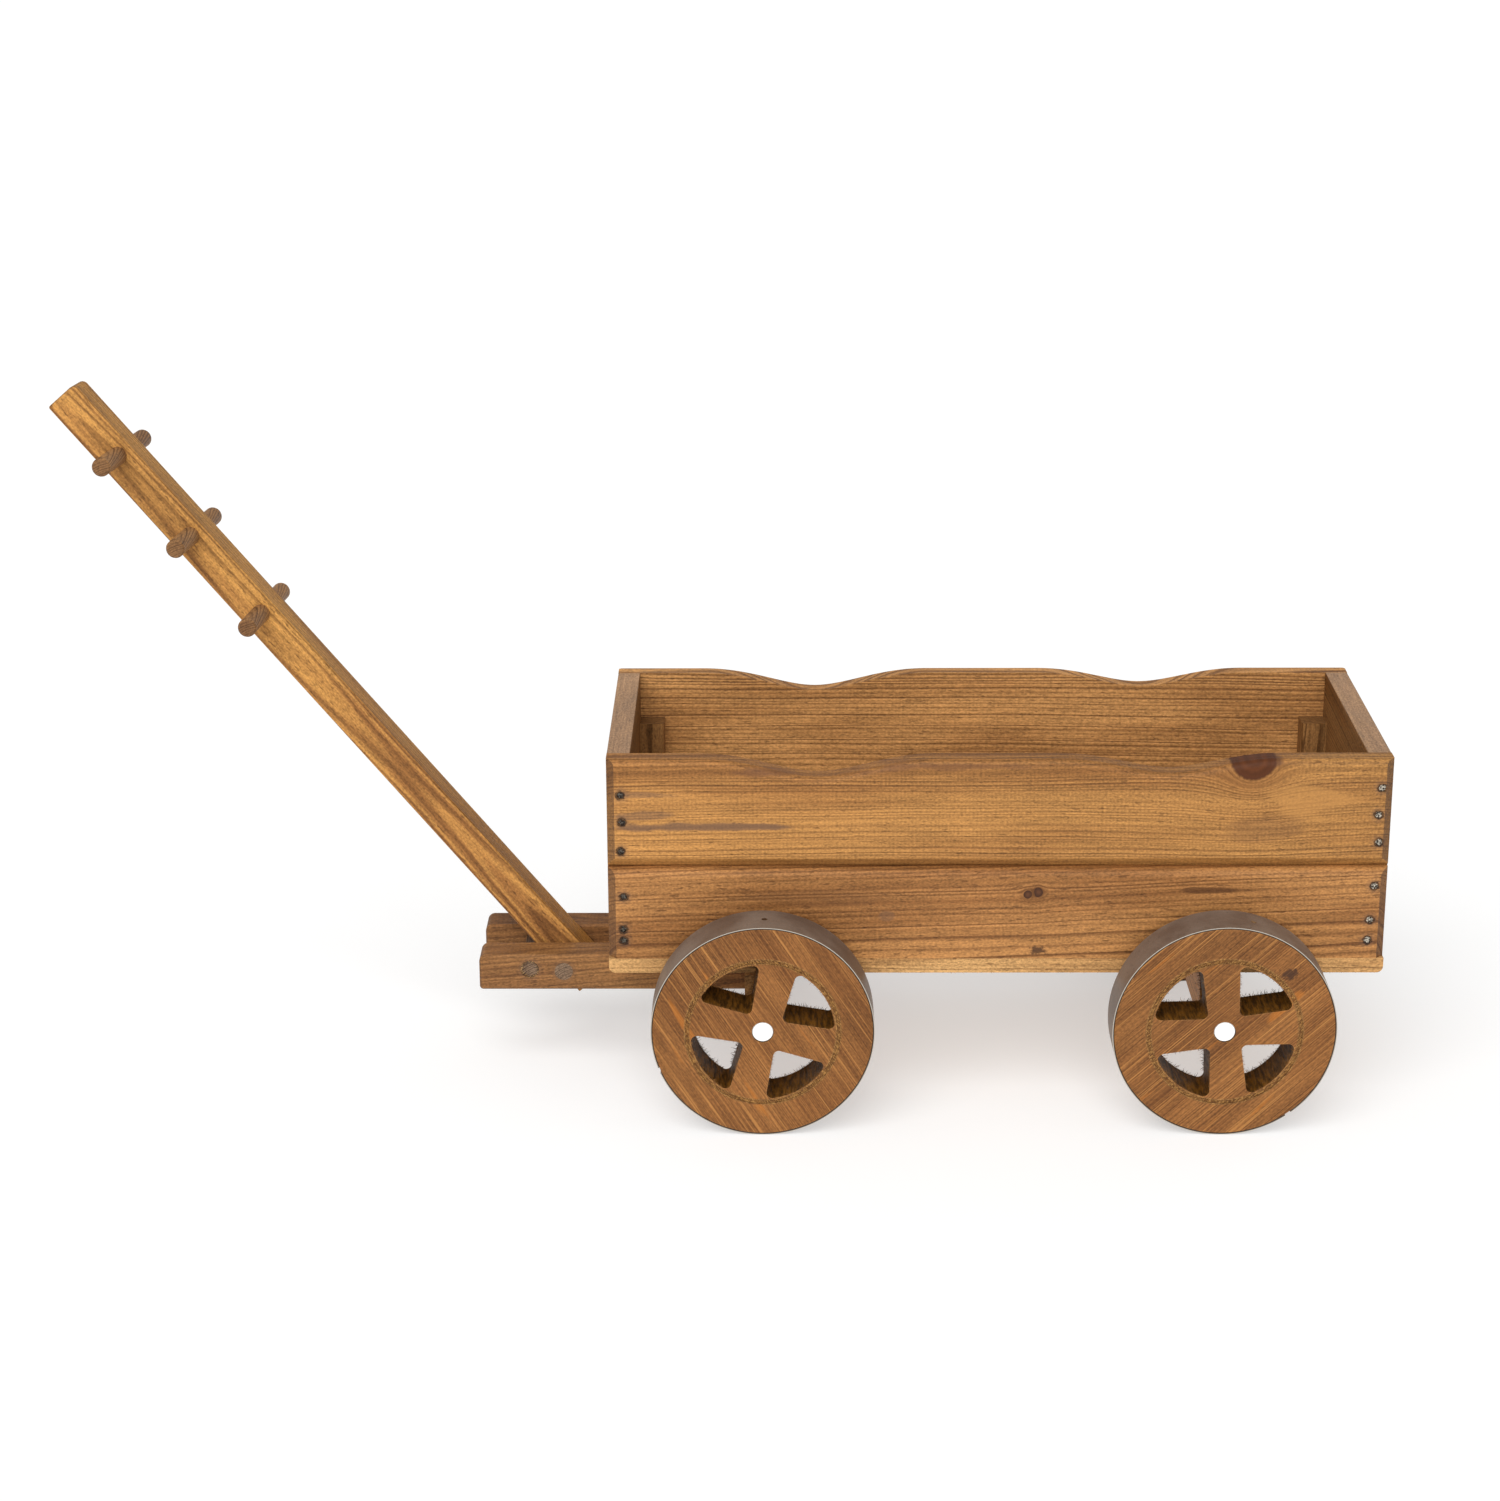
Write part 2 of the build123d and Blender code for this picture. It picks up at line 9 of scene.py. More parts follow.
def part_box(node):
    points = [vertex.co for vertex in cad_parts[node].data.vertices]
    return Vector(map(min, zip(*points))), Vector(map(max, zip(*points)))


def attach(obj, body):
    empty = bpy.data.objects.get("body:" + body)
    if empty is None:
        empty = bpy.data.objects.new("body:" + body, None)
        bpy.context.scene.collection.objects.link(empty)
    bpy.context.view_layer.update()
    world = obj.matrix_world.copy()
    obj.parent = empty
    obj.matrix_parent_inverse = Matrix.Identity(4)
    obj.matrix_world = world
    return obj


# Looks of a wooden toy wagon in stained pine. Metres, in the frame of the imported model: +X to the rear,
# +Y to the wagon's right side, +Z up, ground at Z = 0. The wagon's left side, at -Y, faces the camera.

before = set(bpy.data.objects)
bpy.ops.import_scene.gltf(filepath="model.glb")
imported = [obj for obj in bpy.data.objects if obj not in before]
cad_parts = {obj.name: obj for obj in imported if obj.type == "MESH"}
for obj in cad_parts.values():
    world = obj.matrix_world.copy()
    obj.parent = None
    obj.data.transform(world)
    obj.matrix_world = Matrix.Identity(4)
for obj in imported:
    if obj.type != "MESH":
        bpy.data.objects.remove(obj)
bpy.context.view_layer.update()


def low(node):
    """Lowest corner of a CAD node."""
    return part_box(node)[0]


def high(node):
    """Highest corner of a CAD node."""
    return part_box(node)[1]


def middle(node):
    """Middle of a CAD node's box."""
    return (low(node) + high(node)) / 2


BOX_MIDDLE = middle("left_upper_side_board").x
LEFT_FACE = low("left_upper_side_board").y

# Camera, its place along X measured from the middle of the wagon's box
CAMERA_PLACE = (BOX_MIDDLE - 0.1725, -2.4925, 1.0951)
CAMERA_PITCH_DOWN = math.radians(18.614)
CAMERA_YAW = math.radians(0.424)
CAMERA_ROLL = math.radians(0.189)
CAMERA_LENS = 79.09
CAMERA_SENSOR = 36.0

# Studio. The sun lamps have a direction, a spread in degrees and a strength.
FLOOR_REACH = 30.0
FLOOR_GLOW = 0.46
WORLD_STRENGTH = 0.52
KEY_DIRECTION = (-0.35, -1.0, 1.1)
KEY_SPREAD = 50.0
KEY_STRENGTH = 2.0
FRONT_DIRECTION = (0.1, -1.0, 0.35)
FRONT_SPREAD = 40.0
FRONT_STRENGTH = 0.7

# Wheels: spoke turn and direction of the grain, degrees as seen from the wagon's left
WHEELS = {
    "front_left": {"turn": -13.0, "grain": -57.0},
    "rear_left": {"turn": 5.0, "grain": 43.0},
    "front_right": {"turn": 15.0, "grain": 20.0},
    "rear_right": {"turn": -12.0, "grain": -35.0},
}
TYRE_RADIUS = 0.0858
# Radius at which the tread's pattern is laid out
STRIP_RADIUS = 0.086
WINDOW_RADIUS = 0.0555
# Share of that radius at which a window's straight edges end
WINDOW_REACH = 0.94
SPOKE_HALF_AT_HUB = 0.0118
SPOKE_HALF_AT_RIM = 0.0145
WINDOW_CORNER = 0.0045
GROOVE_RADIUS = 0.0582
GROOVE_WIDTH = 0.0028
GROOVE_DEPTH = 0.001

# Torn fibres: turns of a fibre's three corners, how many in each routed ring and along each floor edge, the
# bare stretch at the floor's ends, and the shortest fibre in a window
FIBRE_CORNERS = (0.0, 2.1, 4.2)
GROOVE_FIBRES = 520
FLOOR_FIBRES = 900
FLOOR_END_MARGIN = 0.006
SHORTEST_WINDOW_FIBRE = 0.0008
# Splinters round a nail, at the wagon's front and rear, and round the stop dowel, and the longest of each
FRONT_SPLINTERS = 13
REAR_SPLINTERS = 6
NAIL_SPLINTER = 0.0024
DOWEL_SPLINTERS = 44
DOWEL_SPLINTER = 0.0036
# Spacing of the fibres and longest one, on the windows' inner and outer edges
INNER_EDGE = (0.0005, 0.0046)
OUTER_EDGE = (0.001, 0.0016)

# Nails and dowels
NAIL_HEAD_RADIUS = 0.0027
DOWEL_HOLE_RADIUS = 0.0073
DOWELS = ("handle_pivot_dowel", "handle_stop_dowel")

for name in WHEELS:
    WHEELS[name]["centre"] = middle("tyre_" + name)
    WHEELS[name]["side"] = -1 if name.endswith("left") else 1


def at(x, y, z):
    """Place with X measured from the middle of the box."""
    return (BOX_MIDDLE + x, y, z)


def srgb(red, green, blue):
    """Linear colour, with alpha, from an sRGB one given as 0 to 255."""
    def linear(value):
        share = value / 255
        return share / 12.92 if share <= 0.04045 else ((share + 0.055) / 1.055) ** 2.4
    return (linear(red), linear(green), linear(blue), 1.0)


# Stain colours: light, middle and dark of each timber; SHADE, for the end boards and corner posts, is
# darkened as painted shade for the inside of the box
HONEY = (srgb(170, 121, 66), srgb(141, 95, 50), srgb(86, 52, 26))
BROWN = (srgb(192, 140, 84), srgb(160, 112, 64), srgb(92, 56, 28))
RUSSET = (srgb(168, 118, 68), srgb(138, 92, 50), srgb(86, 50, 24))
SHADE = (srgb(138, 98, 56), srgb(110, 70, 30), srgb(68, 40, 14))
PALE = (srgb(196, 152, 98), srgb(166, 122, 74), srgb(108, 72, 40))
RAIL = (srgb(150, 106, 62), srgb(124, 84, 48), srgb(88, 56, 32))
HANDLE = (srgb(188, 136, 70), srgb(146, 98, 50), srgb(92, 56, 26))
PEG = (srgb(154, 112, 70), srgb(126, 88, 54), srgb(78, 50, 30))
DOWEL = (srgb(128, 104, 82), srgb(102, 78, 60), srgb(62, 44, 32))

# Lighter tops of the end boards, as painted light from above, then end grain, knots and marks
LIT_END_TOP = srgb(172, 138, 108)
GREY_STAIN = srgb(104, 78, 62)
KNOT_RIM = srgb(44, 26, 20)
KNOT_HEART = srgb(84, 44, 18)
PITCH = srgb(62, 40, 28)
OLD_STREAK = srgb(112, 74, 48)
NAIL_SHADOW = srgb(30, 19, 14)
END_GRAIN = srgb(66, 42, 26)

# Wheel timber, its routed ring and its sawn window walls
WHEEL_DARK = srgb(114, 72, 36)
WHEEL_LIGHT = srgb(134, 88, 46)
WHEEL_LATE = srgb(78, 44, 18)
WHEEL_PALE = srgb(158, 106, 54)
WHEEL_STREAK = srgb(184, 128, 68)
WHEEL_FLAME = srgb(186, 112, 40)
WHEEL_EDGE = srgb(190, 142, 88)
RING_SHADOW = srgb(78, 48, 22)
RING_FUZZ = srgb(186, 136, 76)
WALL_DARK = srgb(54, 32, 6)
WALL_LIGHT = srgb(118, 76, 22)

# Steel, with painted shade on the tyres' cut faces and a painted highlight along their outer rim
SKIN_DARK = srgb(116, 100, 88)
SKIN_LIGHT = srgb(142, 128, 116)
SKIN_SPECK = srgb(74, 54, 42)
CUT_FACE_SHADE = srgb(46, 36, 30)
RIM_HIGHLIGHT = srgb(186, 178, 166)

# Cells per metre of the wood's noises: along the grain, then twice across it
FIBRES = (30, 520, 520)
WHEEL_FIBRES = (22, 700, 700)
FLECKS = (420, 820, 820)
STREAKS = (4, 210, 210)
PORES = (110, 640, 640)
BRIGHT_LINES = (7, 620, 620)
FLAMES = (11, 90, 90)
PATCHES = (3.5, 22, 22)
WHEEL_PATCHES = (8, 50, 50)
RING_HAIRS = (300, 900, 900)
# Cells per metre of the noises that have no grain
CLOUDS = (9, 9, 9)
WHEEL_CLOUDS = (14, 14, 14)
WEAR = (190, 190, 190)
WHEEL_WEAR = (260, 260, 260)
SAW_GRIT = (700, 700, 700)

# Full height of each surface's relief
WOOD_RELIEF = 0.00026
WHEEL_RELIEF = 0.00024
STEEL_RELIEF = 0.00005
FIBRE_RELIEF = 0.00005
NAIL_RELIEF = 0.00012
PLASTIC_RELIEF = 0.00002
FLOOR_RELIEF = 0.00002
# Wavelength of the planer's chatter marks
PLANER_WAVE = 0.0029


class Graph:
    """A material's node tree, built with short calls."""

    def __init__(self, name):
        self.material = bpy.data.materials.new(name)
        self.material.use_nodes = True
        self.nodes = self.material.node_tree.nodes
        self.links = self.material.node_tree.links
        self.nodes.clear()

    def feed(self, socket, value):
        """Links a socket to another one, or sets its value."""
        if isinstance(value, bpy.types.NodeSocket):
            self.links.new(value, socket)
        elif socket.type == "VECTOR":
            socket.default_value = value[:3]
        else:
            socket.default_value = value

    def add(self, kind, values=None, **settings):
        """New node, with its settings and its inputs by name or number."""
        node = self.nodes.new("ShaderNode" + kind)
        for key, value in settings.items():
            setattr(node, key, value)
        for key, value in (values or {}).items():
            self.feed(node.inputs[key], value)
        return node

    def math(self, operation, *values):
        return self.add("Math", dict(enumerate(values)), operation=operation).outputs[0]

    def times(self, first, second):
        return self.math("MULTIPLY", first, second)

    def vector(self, operation, *values):
        node = self.add("VectorMath", dict(enumerate(values)), operation=operation)
        scalar = operation in ("LENGTH", "DISTANCE", "DOT_PRODUCT")
        return node.outputs["Value" if scalar else "Vector"]

    def noise(self, place, stretch, detail=2.0, roughness=0.5):
        """Smooth noise from 0 to 1, with its own frequency along each axis, in cells per metre."""
        scaled = self.vector("MULTIPLY", place, stretch)
        values = {"Vector": scaled, "Scale": 1.0, "Detail": detail, "Roughness": roughness}
        return self.add("TexNoise", values).outputs["Fac"]

    def centred(self, value, size):
        """A 0 to 1 value turned into one around zero."""
        return self.times(self.math("SUBTRACT", value, 0.5), size)

    def step(self, value, low, high):
        """Smooth step from 0 at low to 1 at high."""
        values = {"Value": value, "From Min": low, "From Max": high}
        return self.add("MapRange", values, interpolation_type="SMOOTHSTEP").outputs["Result"]

    def mix(self, share, first, second):
        """Colour that goes from the first to the second as share goes from 0 to 1."""
        return self.add("Mix", {0: share, 6: first, 7: second}, data_type="RGBA").outputs[2]

    def gain(self, colour, factor):
        """Colour times a factor."""
        return self.add("VectorMath", {0: colour, 3: factor}, operation="SCALE").outputs["Vector"]

    def split(self, place):
        return self.add("SeparateXYZ", {0: place}).outputs

    def join(self, x, y, z):
        return self.add("CombineXYZ", {0: x, 1: y, 2: z}).outputs[0]

    def bumps(self, height, distance):
        """Normal from a height, with the height's full size in metres."""
        return self.add("Bump", {"Height": height, "Distance": distance}).outputs["Normal"]

    def total(self, *values):
        """Sum of several values."""
        result = values[0]
        for value in values[1:]:
            result = self.math("ADD", result, value)
        return result

    def hypot(self, first, second):
        """Distance from zero of a point with two coordinates."""
        return self.math("SQRT", self.total(self.times(first, first), self.times(second, second)))

    def finish(self, colour, roughness, normal, metallic=0.0, specular=0.5, glow=0.0):
        """Closes the tree with the surface shader. glow is the strength of its own white light."""
        values = {"Base Color": colour, "Roughness": roughness, "Metallic": metallic,
                  "Specular IOR Level": specular, "Normal": normal,
                  "Emission Color": (1.0, 1.0, 1.0, 1.0), "Emission Strength": glow}
        shader = self.add("BsdfPrincipled", values)
        self.add("OutputMaterial", {"Surface": shader.outputs[0]})
        return self.material


def edge_mask(graph, radius):
    """1 on the outer edges of a part, fading to 0 at about the given distance."""
    rounded = graph.add("Bevel", {"Radius": radius}, samples=4).outputs["Normal"]
    flat = graph.add("NewGeometry").outputs["Normal"]
    return graph.step(graph.vector("DOT_PRODUCT", rounded, flat), 0.995, 0.86)


def flow_round(graph, place, knot):
    """Place pushed aside so that grain lines flow round a knot, and the distance from the knot in radii.

    The knot lies in the XZ plane, with the grain along X."""
    radius = knot["radius"]
    x, _, z = graph.split(graph.vector("SUBTRACT", place, knot["centre"]))
    along = graph.math("DIVIDE", x, radius)
    across = graph.math("DIVIDE", z, radius)
    square = graph.total(graph.times(along, along), graph.times(across, across))
    held = graph.math("MAXIMUM", square, 1.0)
    push = graph.times(graph.math("DIVIDE", across, held), -radius)
    moved = graph.vector("ADD", place, graph.join(0.0, 0.0, push))
    return moved, graph.math("SQRT", square)


def growth_rings(graph, place, ring, wander):
    """Late wood and the light band before it, each 0 to 1, with the pith on the X axis of place."""
    _, y, z = graph.split(place)
    radius = graph.hypot(y, z)
    slow = graph.centred(graph.noise(place, (2.2, 16, 16)), wander)
    quick = graph.centred(graph.noise(place, (12, 90, 90)), wander * 0.12)
    turns = graph.math("DIVIDE", graph.total(radius, slow, quick), ring)
    uneven = graph.add("TexNoise", {"W": turns, "Scale": 0.31, "Detail": 1.0}, noise_dimensions="1D")
    turns = graph.total(turns, graph.times(uneven.outputs["Fac"], 2.6))
    share = graph.math("FRACT", turns)
    year = graph.add("TexWhiteNoise", {"W": graph.math("FLOOR", turns)}, noise_dimensions="1D")
    strength = graph.total(graph.times(year.outputs["Value"], 0.75), 0.25)
    late = graph.times(graph.step(share, 0.5, 0.84), graph.step(share, 1.0, 0.9))
    pale = graph.times(graph.step(share, 0.12, 0.4), graph.step(share, 0.66, 0.46))
    return graph.times(late, strength), graph.times(pale, strength)


def add_knot(graph, colour, distance, place, knot):
    """Paints a knot: a dark ragged rim and a brown middle with fine rings."""
    torn = graph.centred(graph.noise(place, (420, 420, 420), 3.0), knot["ragged"])
    ragged = graph.total(distance, torn)
    inside = graph.step(ragged, 1.02, 0.86)
    rim = graph.times(inside, graph.step(ragged, knot.get("rim_from", 0.45), 0.95))
    rings = graph.math("SINE", graph.times(ragged, knot["rings"]))
    heart = graph.gain(knot["heart"], graph.total(graph.times(rings, 0.16), 1.0))
    halo = graph.times(graph.step(ragged, 2.3, 1.0), knot["halo"])
    colour = graph.mix(halo, colour, knot.get("halo_colour", HONEY[2]))
    colour = graph.mix(inside, colour, heart)
    return graph.mix(graph.times(rim, knot.get("rim", 0.85)), colour, KNOT_RIM)


def add_stain(graph, colour, place, stain):
    """Darkens an elongated ragged patch."""
    offset = graph.vector("SUBTRACT", place, stain["centre"])
    edge = graph.noise(place, stain.get("grain", (30, 110, 110)), 3.0)
    warp = graph.centred(edge, stain.get("warp", 1.3))
    distance = graph.total(graph.vector("LENGTH", graph.vector("DIVIDE", offset, stain["size"])), warp)
    share = graph.times(graph.step(distance, 1.0, 0.55), stain["strength"])
    return graph.mix(share, colour, stain["colour"])


def add_nail_marks(graph, colour, place, nails, strength, radius):
    """Painted shadow in a ragged ring round each nail or dowel, out to a radius, and a wider faint smear."""
    solid = radius - 0.0016
    smear_radius = radius + 0.0038
    nearest = graph.vector("DISTANCE", place, nails[0])
    for nail in nails[1:]:
        nearest = graph.math("MINIMUM", nearest, graph.vector("DISTANCE", place, nail))
    ragged = graph.total(nearest, graph.centred(graph.noise(place, (240, 480, 480), 3.0), 0.0036))
    share = graph.times(graph.step(ragged, radius, solid), strength)
    smear = graph.times(graph.step(ragged, smear_radius, solid), 0.35)
    colour = graph.mix(smear, colour, GREY_STAIN)
    return graph.mix(share, colour, NAIL_SHADOW)


def into_tree(graph, place, grain, pith, seed):
    """Place in the tree's own frame, with its centre line as the X axis, and shifted along it by the seed."""
    turn = Vector((1, 0, 0)).rotation_difference(Vector(grain)).to_euler()
    values = {"Vector": place, "Location": pith, "Rotation": turn}
    local = graph.add("Mapping", values, vector_type="TEXTURE").outputs[0]
    return graph.vector("ADD", local, (seed * 1.7, 0.0, 0.0))


def ringed_colour(graph, local, tones, late, pale, contrast):
    """Stained colour with soft light and plain patches, dark late wood and pale bands."""
    light, plain, dark = tones
    broad = graph.noise(local, PATCHES, 2.0)
    colour = graph.mix(graph.step(broad, 0.38, 0.62), light, plain)
    colour = graph.mix(graph.times(late, contrast), colour, dark)
    return graph.mix(graph.times(pale, contrast * 0.8), colour, graph.gain(light, 1.12))


def past_knots(graph, place, knots):
    """Place with the grain pushed round each knot, and each knot with the distance from it in radii."""
    painted = []
    for knot in knots:
        place, distance = flow_round(graph, place, knot)
        painted.append((distance, knot))
    return place, painted


def add_marks(graph, colour, place, stains, painted):
    """Stains, and over them the knots."""
    for stain in stains:
        colour = add_stain(graph, colour, place, stain)
    for distance, knot in painted:
        colour = add_knot(graph, colour, distance, place, knot)
    return colour


def end_and_edges(graph, colour, place, facing, end_light, edge_light, light):
    """Darkens the end grain, where facing is near 1, and lightens worn edges."""
    end = graph.step(facing, 0.45, 0.8)
    colour = graph.mix(graph.times(end, 1.0 - end_light), colour, END_GRAIN)
    patchy = graph.step(graph.noise(place, WEAR, 3.0), 0.42, 0.58)
    worn = graph.times(edge_mask(graph, 0.0012), patchy)
    return graph.mix(graph.times(worn, edge_light), colour, graph.gain(light, 1.25))


def wood(name, grain, pith, tones, ring=0.0033, wander=0.012, contrast=0.85, seed=0.0, knots=(), stains=(),
         chatter=0.03, edge_light=0.45, end_light=0.62, roughness=0.56, nails=(), nail_marks=0.9,
         mark_radius=0.0047, saw=0.0, fade=0.0, lit_top_tone=None):
    """Stained softwood. grain is the direction of the grain, and pith a point on the tree's centre line."""
    graph = Graph(name)
    coordinates = graph.add("TexCoord")
    place = coordinates.outputs["Object"]
    normal = coordinates.outputs["Normal"]
    light, _, dark = tones
    moved, painted = past_knots(graph, place, knots)
    local = into_tree(graph, moved, grain, pith, seed)
    late, pale = growth_rings(graph, local, ring, wander)
    fibre = graph.noise(local, FIBRES, 4.0, 0.72)
    fleck = graph.noise(local, FLECKS, 1.0, 0.6)
    streak = graph.noise(local, STREAKS, 3.0, 0.65)
    cloud = graph.noise(place, CLOUDS, 3.0)
    pores = graph.step(graph.noise(local, PORES, 2.0), 0.62, 0.7)
    waves = graph.math("SINE", graph.times(graph.split(local)[0], 2 * math.pi / PLANER_WAVE))
    shade = graph.total(graph.centred(fibre, 1.1), graph.centred(fleck, 1.25), graph.centred(streak, 0.5),
                        graph.centred(cloud, 0.35), graph.times(waves, chatter), 1.0)
    if fade:
        from_middle = graph.math("SUBTRACT", graph.split(place)[0], BOX_MIDDLE)
        shade = graph.total(shade, graph.times(from_middle, -fade))
    colour = graph.gain(ringed_colour(graph, local, tones, late, pale, contrast), shade)
    colour = graph.mix(graph.times(pores, 0.55), colour, graph.gain(dark, 0.75))
    # Painted light: faces that point up take the lighter top tone, as if lit from above
    if lit_top_tone:
        up = graph.step(graph.split(normal)[2], 0.5, 0.9)
        colour = graph.mix(graph.times(up, 0.7), colour, graph.gain(lit_top_tone, shade))
    colour = add_marks(graph, colour, place, stains, painted)
    if nails:
        colour = add_nail_marks(graph, colour, place, nails, nail_marks, mark_radius)
    facing = graph.math("ABSOLUTE", graph.vector("DOT_PRODUCT", normal, grain))
    colour = end_and_edges(graph, colour, place, facing, end_light, edge_light, light)
    height = graph.total(graph.times(fibre, 0.6), graph.times(late, -0.5), graph.times(fleck, 0.5),
                         graph.times(pores, -0.6), graph.times(waves, chatter * 2.0))
    if saw:
        rough = graph.noise(place, SAW_GRIT, 3.0, 0.7)
        height = graph.total(height, graph.times(rough, saw))
        colour = graph.gain(colour, graph.total(graph.centred(rough, 0.5 * saw), 1.0))
    shine = graph.total(graph.centred(fibre, 0.25), roughness)
    return graph.finish(colour, shine, graph.bumps(height, WOOD_RELIEF), specular=0.18)


def wheel_grain(graph, offset, wheel):
    """Place in a wheel's timber, with the grain along X. Each wheel is cut from other rings."""
    angle = math.radians(wheel["grain"])
    along = graph.vector("DOT_PRODUCT", offset, (math.cos(angle), 0.0, math.sin(angle)))
    across = graph.vector("DOT_PRODUCT", offset, (-math.sin(angle), 0.0, math.cos(angle)))
    depth = graph.split(offset)[1]
    return graph.join(along, graph.total(across, 0.16), graph.total(depth, 0.05 + wheel["grain"] * 0.001))


def wheel_face(graph, local, place, late, pale, fibre):
    """Stained colour of a wheel's face, with bright fibres and a few warm flames."""
    fleck = graph.noise(local, FLECKS, 1.0, 0.6)
    broad = graph.noise(local, WHEEL_PATCHES, 2.0)
    cloud = graph.noise(place, WHEEL_CLOUDS, 3.0)
    colour = graph.mix(graph.step(broad, 0.35, 0.65), WHEEL_DARK, WHEEL_LIGHT)
    colour = graph.mix(graph.times(late, 0.6), colour, WHEEL_LATE)
    colour = graph.mix(graph.times(pale, 0.35), colour, WHEEL_PALE)
    shade = graph.total(graph.centred(fibre, 1.0), graph.centred(fleck, 1.1), graph.centred(cloud, 0.7), 1.0)
    colour = graph.gain(colour, shade)
    bright = graph.step(graph.noise(local, BRIGHT_LINES, 2.0, 0.6), 0.58, 0.66)
    colour = graph.mix(graph.times(bright, 0.6), colour, WHEEL_STREAK)
    flame = graph.step(graph.noise(local, FLAMES, 1.0), 0.68, 0.74)
    return graph.mix(graph.times(flame, 0.45), colour, WHEEL_FLAME)


def wheel_wood(name, wheel):
    """Wheel timber: straight grain across the face, rough sawn windows and a routed ring."""
    graph = Graph(name)
    coordinates = graph.add("TexCoord")
    place = coordinates.outputs["Object"]
    offset = graph.vector("SUBTRACT", place, wheel["centre"])
    x, _, z = graph.split(offset)
    local = wheel_grain(graph, offset, wheel)
    late, pale = growth_rings(graph, local, 0.0019, 0.006)
    fibre = graph.noise(local, WHEEL_FIBRES, 4.0, 0.72)
    colour = wheel_face(graph, local, place, late, pale, fibre)
    from_ring = graph.math("ABSOLUTE", graph.math("SUBTRACT", graph.hypot(x, z), GROOVE_RADIUS))
    torn = graph.centred(graph.noise(place, (500, 500, 500), 3.0), 0.0014)
    near_ring = graph.step(graph.total(from_ring, torn), 0.0030, 0.0016)
    hair = graph.noise(local, RING_HAIRS, 3.0, 0.7)
    ring = graph.times(near_ring, graph.step(hair, 0.4, 0.6))
    colour = graph.mix(graph.times(near_ring, 0.6), colour, RING_SHADOW)
    colour = graph.mix(graph.times(ring, 0.75), colour, RING_FUZZ)
    facing = graph.math("ABSOLUTE", graph.split(coordinates.outputs["Normal"])[1])
    wall = graph.step(facing, 0.7, 0.3)
    sawn = graph.noise(offset, (420, 60, 420), 4.0, 0.7)
    colour = graph.mix(wall, colour, graph.mix(graph.step(sawn, 0.35, 0.65), WALL_DARK, WALL_LIGHT))
    for stain in wheel.get("stains", ()):
        colour = add_stain(graph, colour, place, stain)
    patchy = graph.step(graph.noise(place, WHEEL_WEAR, 3.0), 0.4, 0.6)
    worn = graph.times(edge_mask(graph, 0.0009), patchy)
    colour = graph.mix(graph.times(worn, 0.5), colour, WHEEL_EDGE)
    height = graph.total(graph.times(fibre, 0.7), graph.times(late, -0.4),
                         graph.times(graph.times(wall, sawn), 4.0), graph.times(graph.times(ring, hair), 3.0))
    shine = graph.total(graph.centred(fibre, 0.2), 0.58)
    return graph.finish(colour, shine, graph.bumps(height, WHEEL_RELIEF), specular=0.18)


def torn_wood(name, dark, light):
    """Loose torn fibres, from dark to light at random along an edge."""
    graph = Graph(name)
    place = graph.add("TexCoord").outputs["Object"]
    coarse = graph.noise(place, (300, 300, 300), 2.0, 0.6)
    fine = graph.noise(place, (2400, 2400, 2400), 2.0)
    colour = graph.mix(graph.step(coarse, 0.36, 0.64), dark, light)
    colour = graph.gain(colour, graph.total(graph.centred(fine, 0.5), 1.0))
    roughness = graph.total(graph.centred(coarse, 0.2), 0.75)
    return graph.finish(colour, roughness, graph.bumps(fine, FIBRE_RELIEF), specular=0.2)


def tyre_steel(name, wheel):
    """Mild steel strap with a brown-grey mill skin and scratches along the tread; its cut faces are painted
    dark as shade, with a painted highlight along their outer rim.
    """
    graph = Graph(name)
    coordinates = graph.add("TexCoord")
    place = coordinates.outputs["Object"]
    x, y, z = graph.split(graph.vector("SUBTRACT", place, wheel["centre"]))
    angle = graph.math("ARCTAN2", z, x)
    strip = graph.join(graph.times(graph.math("SINE", angle), STRIP_RADIUS), y,
                       graph.times(graph.math("COSINE", angle), STRIP_RADIUS))
    drawn = graph.noise(strip, (40, 1100, 40), 4.0, 0.7)
    cloud = graph.noise(place, (26, 26, 26), 4.0, 0.6)
    grit = graph.noise(place, (900, 900, 900), 2.0, 0.6)
    speck = graph.step(graph.noise(place, (420, 420, 420), 2.0), 0.66, 0.74)
    colour = graph.mix(graph.step(cloud, 0.3, 0.7), SKIN_DARK, SKIN_LIGHT)
    colour = graph.gain(colour, graph.total(graph.centred(drawn, 0.4), graph.centred(grit, 0.5), 1.0))
    colour = graph.mix(graph.times(speck, 0.5), colour, SKIN_SPECK)
    # Painted shade on the cut faces, and a painted highlight on their outer rim
    cut = graph.step(graph.math("ABSOLUTE", graph.split(coordinates.outputs["Normal"])[1]), 0.5, 0.8)
    radius = graph.hypot(x, z)
    rim_highlight = graph.step(radius, TYRE_RADIUS - 0.0008, TYRE_RADIUS - 0.0004)
    colour = graph.mix(cut, colour, graph.mix(rim_highlight, CUT_FACE_SHADE, RIM_HIGHLIGHT))
    roughness = graph.total(graph.centred(cloud, 0.3), 0.52)
    height = graph.total(graph.times(drawn, 0.7), graph.times(grit, 0.6))
    return graph.finish(colour, roughness, graph.bumps(height, STEEL_RELIEF), metallic=0.5)


def nail_steel(name, bright, tarnished):
    """Nail and screw steel, dull with tarnish towards the wagon's front and brighter at its rear."""
    graph = Graph(name)
    place = graph.add("TexCoord").outputs["Object"]
    mottle = graph.noise(place, (700, 700, 700), 4.0, 0.6)
    rear = graph.step(graph.split(place)[0], BOX_MIDDLE - 0.1, BOX_MIDDLE + 0.1)
    bare = graph.total(graph.times(rear, 0.75), 0.15)
    colour = graph.mix(graph.times(graph.step(mottle, 0.6, 0.4), bare), tarnished, bright)
    roughness = graph.total(graph.centred(mottle, 0.4), 0.42)
    return graph.finish(colour, roughness, graph.bumps(mottle, NAIL_RELIEF), metallic=0.85)


